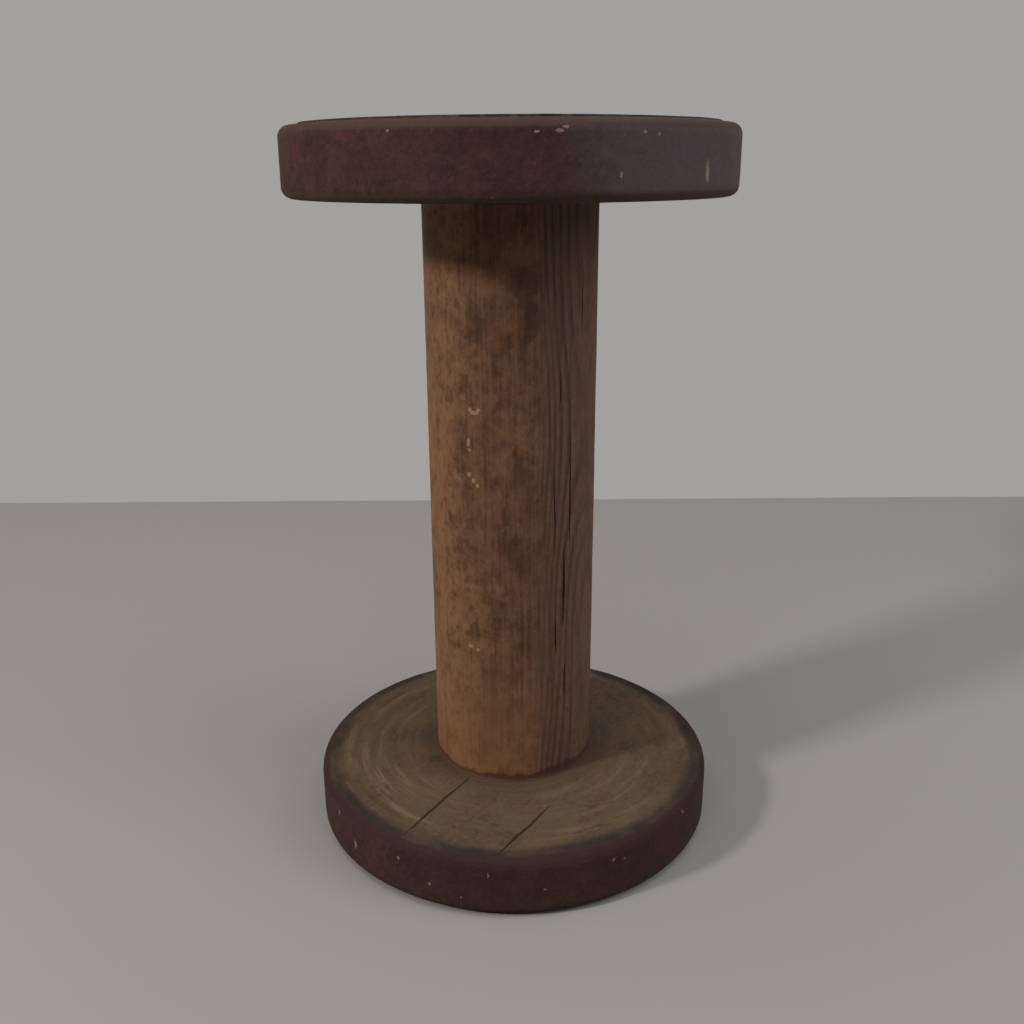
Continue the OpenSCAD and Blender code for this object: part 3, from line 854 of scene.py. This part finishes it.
def barrel_material(colours):
    """The barrel: growth rings about a heart outside it, warm and mottled on the handled side and grey, with plain
    dark lines, on the weathered side; a ring of dark red paint at the foot; a few cream specks. Painted light
    brightens the handled side towards the key-lit left and towards the bottom, and painted shade darkens a few spots
    just below the shade of the upper flange."""
    s = Shader("barrel_wood", roughness=0.62)
    phase = ring_count(s.x, s.y, s.z).part()
    late = phase.between(0.35, 0.85) * phase.between(1.0, 0.90)
    angle = s.x.math("ARCTAN2", s.x, s.y * -1) * (180 / pi)
    angle = angle + (s.noise(0.03, s.stretched(1, 1, 0.4), detail=4) - 0.5) * 26
    side = angle.between(WEATHERED_FROM - 7, WEATHERED_FROM + 9) * angle.between(WEATHERED_TO + 20, WEATHERED_TO)
    streak = s.noise(0.0014, s.stretched(1, 1, 0.035), detail=4, rough=0.6)
    mottle = s.noise(0.008, s.stretched(1, 1, 0.8), detail=6, rough=0.72)
    stain = s.noise(0.030, s.stretched(1, 1, 0.6), detail=5, rough=0.6)
    freckle = s.noise(0.0026, s.stretched(1, 1, 0.8), detail=5, rough=0.72)
    base = s.mix((mottle * 0.65 + streak * 0.35).between(0.36, 0.60), colours.barrel_dark, colours.barrel_warm)
    # Painted light: the light patches grow towards the barrel's left side, which faces the key light.
    rubbed = angle.between(-5, -62) * 0.12
    base = s.mix((stain * 0.3 + freckle * 0.4 + mottle * 0.3 + rubbed).between(0.48, 0.72) * 0.8, base,
                 colours.barrel_light)
    base = s.mix(stain.between(0.46, 0.32) * 0.4, base, colours.barrel_dark)
    base = s.mix((freckle * 0.7 + mottle * 0.3).between(0.45, 0.34) * 0.7, base, colours.barrel_dark)
    # Dark spots; the four highest are painted shade where the shade under the upper flange fades out.
    dark_spots_and_shade = [(on_round(BARREL_R, a, z * MM), (w * MM, w * MM, h * MM)) for a, z, w, h in DARK_SPOTS]
    base = s.mix(s.spots(dark_spots_and_shade, (mottle - 0.5) * 2.4) * 0.5, base, colours.late_wood)
    grey = s.mix(freckle.between(0.30, 0.70), s.mix(0.35, colours.barrel_grey, colours.barrel_dark),
                 s.mix(0.2, colours.barrel_grey, colours.barrel_light))
    base = s.mix(side * 0.85, base, grey)
    lines = late * (stain * 0.8 + mottle * 0.8).between(0.5, 1.0)
    straight_grain = angle.between(58, 40) * 0.4 + 0.3
    base = s.mix(lines * (side * straight_grain + 0.12), base, colours.late_wood)
    base = s.mix(streak.between(0.48, 0.32) * (side * 0.25 + 0.15), base, colours.late_wood)
    # Painted light: the handled side grows lighter towards the bottom, where more of the overhead light reaches.
    low_painted_light = (s.z + (mottle - 0.5) * 0.05).between(0.090, 0.040)
    base = s.mix(low_painted_light * 0.35 * (1 - side), base, colours.barrel_light)
    specks = [(on_round(BARREL_R, a, z * MM), (w * MM, w * MM, h * MM)) for a, z, w, h in CREAM_SPECKS]
    cream = s.spots(specks, (freckle - 0.5) * 2.2)
    base = s.mix(cream * 0.6, base, colours.cream)
    foot = (s.z + (mottle - 0.5) * 0.008 - side * 0.0012).between(SHOULDER_Z + 3.4 * MM, SHOULDER_Z + 1.9 * MM)
    base = s.mix(foot * 0.85, base, s.mix(0.55, colours.paint_red, colours.paint_dark))
    s.set("Base Color", base)
    s.set("Roughness", 0.62 + side * 0.14 + (freckle - 0.5) * 0.3)
    s.set("Specular IOR Level", 0.2)
    grain = s.bump(streak + late * side * 0.6, 0.00025, 0.6)
    s.set("Normal", s.bump(freckle, 0.0003, 0.4, grain))
    return s.material


def metal_material(name, bare, rust, rust_low, rust_high, metallic, roughness):
    """Old steel or iron: bare metal with turning rings, dulled, with rust where the noise is high."""
    s = Shader(name)
    rusty = s.noise(0.007, detail=6, rough=0.7).between(rust_low, rust_high)
    rings = s.noise(1.0, s.vector(s.radius * 1600, s.x * 10, s.y * 10), detail=2)
    pits = s.noise(0.0012, detail=4, rough=0.7)
    s.set("Base Color", s.mix(rusty, s.mix(rings.between(0.3, 0.7) * 0.35, bare, rust), rust))
    s.set("Metallic", (1 - rusty * 0.85) * metallic)
    s.set("Roughness", rusty * 0.35 + roughness + (pits - 0.5) * 0.2)
    s.set("Normal", s.bump(rings * 0.3 + pits * rusty, 0.0002, 0.6))
    return s.material


def peg_material(colours):
    """Hardwood of the lock pins: fine grain along the pin."""
    s = Shader("peg_wood")
    streak = s.noise(0.0012, s.stretched(1, 1, 0.05), detail=4)
    s.set("Base Color", s.mix(streak.between(0.35, 0.65), colours.barrel_dark, colours.peg))
    s.set("Normal", s.bump(streak, 0.0002, 0.5))
    return s.material


def floor_material(stage):
    """A plain pale surface, the same all over."""
    s = Shader("floor", roughness=0.9)
    s.set("Base Color", stage.floor_colour)
    s.set("Specular IOR Level", 0.2)
    return s.material


def dress_node(node, material):
    """Gives a CAD node that stays a better material."""
    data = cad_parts[node].data
    data.materials.clear()
    data.materials.append(material)


# Operators


class BOBBIN_OT_barrel(Operator):
    """Turns the barrel with its tenons, bore, grain and splits"""

    bl_idname = "bobbin.barrel"
    bl_label = "Barrel"

    def execute(self, context):
        shape, colours = context.scene.bobbin_shape, context.scene.bobbin_colours
        points, normals = lathe(barrel_profile(shape), shape.barrel_turns)
        outside = np.linalg.norm(points[..., :2], axis=-1) > BARREL_R - 0.01 * MM
        fade = smooth(points[..., 2], SHOULDER_Z, SHOULDER_Z + 2 * shape.foot_fillet)
        relief = np.where(outside, barrel_relief(points, normals) * fade, 0)
        piece = surface_object("barrel_turned", points + normals * relief[..., None], {})
        cut_out(piece, barrel_parts(shape))
        finish_piece(piece, ["barrel"], barrel_material(colours))
        return {"FINISHED"}


class BOBBIN_OT_inner_plies(Operator):
    """Turns the inner ply of each flange, with its bare face; the lower one is cracked"""

    bl_idname = "bobbin.inner_plies"
    bl_label = "Inner plies"

    def execute(self, context):
        shape, colours = context.scene.bobbin_shape, context.scene.bobbin_colours
        for end in ENDS:
            name = end + "_inner_ply"
            piece, plugs = flange_ply(name + "_face", inner_ply_profile(shape), shape, end)
            cuts = [plugs] + (crack_parts(shape) if end == "lower" else [])
            cut_out(piece, cuts)
            finish_piece(piece, [name], flange_material(name, "inner", end, colours))
        return {"FINISHED"}


class BOBBIN_OT_middle_plies(Operator):
    """Turns the middle ply of each flange, which shows only as a band of the rim"""

    bl_idname = "bobbin.middle_plies"
    bl_label = "Middle plies"

    def execute(self, context):
        shape, colours = context.scene.bobbin_shape, context.scene.bobbin_colours
        for end in ENDS:
            name = end + "_middle_ply"
            piece, plugs = flange_ply(name + "_core", middle_ply_profile(shape), shape, end)
            cut_out(piece, [plugs])
            finish_piece(piece, [name], flange_material(name, "middle", end, colours))
        return {"FINISHED"}


class BOBBIN_OT_outer_plies(Operator):
    """Turns the outer ply of each flange: raised face, quirk, ring, plate seat and holes"""

    bl_idname = "bobbin.outer_plies"
    bl_label = "Outer plies"

    def execute(self, context):
        shape, colours = context.scene.bobbin_shape, context.scene.bobbin_colours
        for end in ENDS:
            name = end + "_outer_ply"
            piece, plugs = flange_ply(name + "_land", outer_ply_profile(shape), shape, end)
            cut_out(piece, [plugs])
            finish_piece(piece, [name], flange_material(name, "outer", end, colours))
        return {"FINISHED"}


class BOBBIN_OT_hardware(Operator):
    """Finishes the bushes, screws, nails and lock pins, whose solids stay"""

    bl_idname = "bobbin.hardware"
    bl_label = "Hardware"

    def execute(self, context):
        colours = context.scene.bobbin_colours
        bush = metal_material("bush_steel", colours.steel, colours.rust, 0.46, 0.66, 0.9, 0.38)
        screw = metal_material("screw_steel", colours.steel, colours.rust, 0.40, 0.60, 0.9, 0.42)
        nail = metal_material("nail_iron", colours.iron, colours.rust, 0.42, 0.62, 0.7, 0.5)
        peg = peg_material(colours)
        for end in ENDS:
            dress_node(end + "_bush", bush)
            dress_node(end + "_bush_screws", screw)
            dress_node(end + "_ply_nails", nail)
            dress_node(end + "_lock_pins", peg)
        return {"FINISHED"}


def area_light(name, place, target, size, power, tint=(1.0, 1.0, 1.0)):
    """A square soft light at a place, turned to a target."""
    light = bpy.data.lights.new(name, "AREA")
    light.shape = "SQUARE"
    light.size = size
    light.energy = power
    light.color = tint
    lamp = bpy.data.objects.new(name, light)
    aim = (Vector(target) - Vector(place)).to_track_quat("-Z", "Y")
    lamp.matrix_world = Matrix.Translation(place) @ aim.to_matrix().to_4x4()
    lamp.visible_camera = False
    bpy.context.scene.collection.objects.link(lamp)


class BOBBIN_OT_stage(Operator):
    """Sets the camera, the pale floor, the even light all round and the two soft lamps"""

    bl_idname = "bobbin.stage"
    bl_label = "Stage"

    def execute(self, context):
        stage = context.scene.bobbin_stage
        self.add_camera(context.scene, stage)
        self.add_floor(stage)
        self.light_world(context.scene, stage)
        middle = (0, 0, OVERALL / 2)
        area_light("key", (-1.108, -0.64, 0.85), middle, 0.16, stage.key_power, (1.0, 0.95, 0.88))
        area_light("side", (1.25, -0.45, 0.9), middle, 0.9, stage.side_power, (0.93, 0.97, 1.0))
        area_light("top", (0.0, -0.35, 1.75), middle, 2.2, stage.top_power)
        context.scene.view_settings.view_transform = "Standard"
        return {"FINISHED"}

    def add_camera(self, scene, stage):
        """The camera looks along +Y, pitched down, and is turned a little about its own axis."""
        pitch, roll = stage.camera_pitch, stage.camera_roll
        forward = Vector((0, cos(pitch), -sin(pitch)))
        right, up = Vector((1, 0, 0)), Vector((0, sin(pitch), cos(pitch)))
        turned_right = right * cos(roll) + up * sin(roll)
        turned_up = up * cos(roll) - right * sin(roll)
        axes = Matrix((turned_right, turned_up, -forward)).transposed().to_4x4()
        data = bpy.data.cameras.new("camera")
        data.sensor_width = 36
        data.lens = stage.focal_length
        data.clip_start = 0.01
        camera = bpy.data.objects.new("camera", data)
        place = (stage.camera_side, -stage.camera_back, stage.camera_height)
        camera.matrix_world = Matrix.Translation(place) @ axes
        scene.collection.objects.link(camera)
        scene.camera = camera

    def add_floor(self, stage):
        """A flat floor under the bobbin, which ends behind it."""
        wide, front = 4.0, -4.0
        corners = [(-wide, front, 0), (wide, front, 0), (wide, stage.floor_back, 0), (-wide, stage.floor_back, 0)]
        mesh = bpy.data.meshes.new("floor")
        mesh.from_pydata(corners, [], [(0, 1, 2, 3)])
        mesh.materials.append(floor_material(stage))
        floor = bpy.data.objects.new("floor", mesh)
        bpy.context.scene.collection.objects.link(floor)

    def light_world(self, scene, stage):
        """Even light from all round. The camera, reflections and glass see the pale wall colour instead."""
        world = bpy.data.worlds.new("world")
        world.use_nodes = True
        nodes, links = world.node_tree.nodes, world.node_tree.links
        nodes.clear()
        fill, wall = nodes.new("ShaderNodeBackground"), nodes.new("ShaderNodeBackground")
        fill.inputs["Strength"].default_value = stage.fill_strength
        wall.inputs["Color"].default_value = (*stage.wall_colour, 1)
        path = nodes.new("ShaderNodeLightPath")
        seen = nodes.new("ShaderNodeMath")
        seen.operation = "MAXIMUM"
        links.new(path.outputs["Is Camera Ray"], seen.inputs[0])
        links.new(path.outputs["Is Glossy Ray"], seen.inputs[1])
        seen_through = nodes.new("ShaderNodeMath")
        seen_through.operation = "MAXIMUM"
        links.new(seen.outputs[0], seen_through.inputs[0])
        links.new(path.outputs["Is Transmission Ray"], seen_through.inputs[1])
        choice, output = nodes.new("ShaderNodeMixShader"), nodes.new("ShaderNodeOutputWorld")
        links.new(seen_through.outputs[0], choice.inputs[0])
        links.new(fill.outputs[0], choice.inputs[1])
        links.new(wall.outputs[0], choice.inputs[2])
        links.new(choice.outputs[0], output.inputs["Surface"])
        scene.world = world


OPERATORS = (BOBBIN_OT_stage, BOBBIN_OT_barrel, BOBBIN_OT_inner_plies, BOBBIN_OT_middle_plies,
             BOBBIN_OT_outer_plies, BOBBIN_OT_hardware)


class BOBBIN_PT_panel(Panel):
    """Lists the steps that build the bobbin"""

    bl_idname = "BOBBIN_PT_panel"
    bl_label = "Wooden Bobbin"
    bl_space_type = "VIEW_3D"
    bl_region_type = "UI"
    bl_category = "Bobbin"

    def draw(self, context):
        for operator in OPERATORS:
            self.layout.operator(operator.bl_idname)
        for group in (context.scene.bobbin_shape, context.scene.bobbin_colours, context.scene.bobbin_stage):
            box = self.layout.box()
            for name in group.bl_rna.properties.keys():
                if name not in ("rna_type", "name"):
                    box.prop(group, name)


CLASSES = (BOBBIN_PG_shape, BOBBIN_PG_colours, BOBBIN_PG_stage) + OPERATORS + (BOBBIN_PT_panel,)
GROUPS = {"bobbin_shape": BOBBIN_PG_shape, "bobbin_colours": BOBBIN_PG_colours, "bobbin_stage": BOBBIN_PG_stage}


def register():
    for kind in CLASSES:
        bpy.utils.register_class(kind)
    for name, kind in GROUPS.items():
        setattr(bpy.types.Scene, name, PointerProperty(type=kind))


def unregister():
    for name in GROUPS:
        delattr(bpy.types.Scene, name)
    for kind in reversed(CLASSES):
        bpy.utils.unregister_class(kind)


def main():
    register()
    bpy.ops.bobbin.stage()
    bpy.ops.bobbin.barrel()
    bpy.ops.bobbin.inner_plies()
    bpy.ops.bobbin.middle_plies()
    bpy.ops.bobbin.outer_plies()
    bpy.ops.bobbin.hardware()


if __name__ == "__main__":
    main()
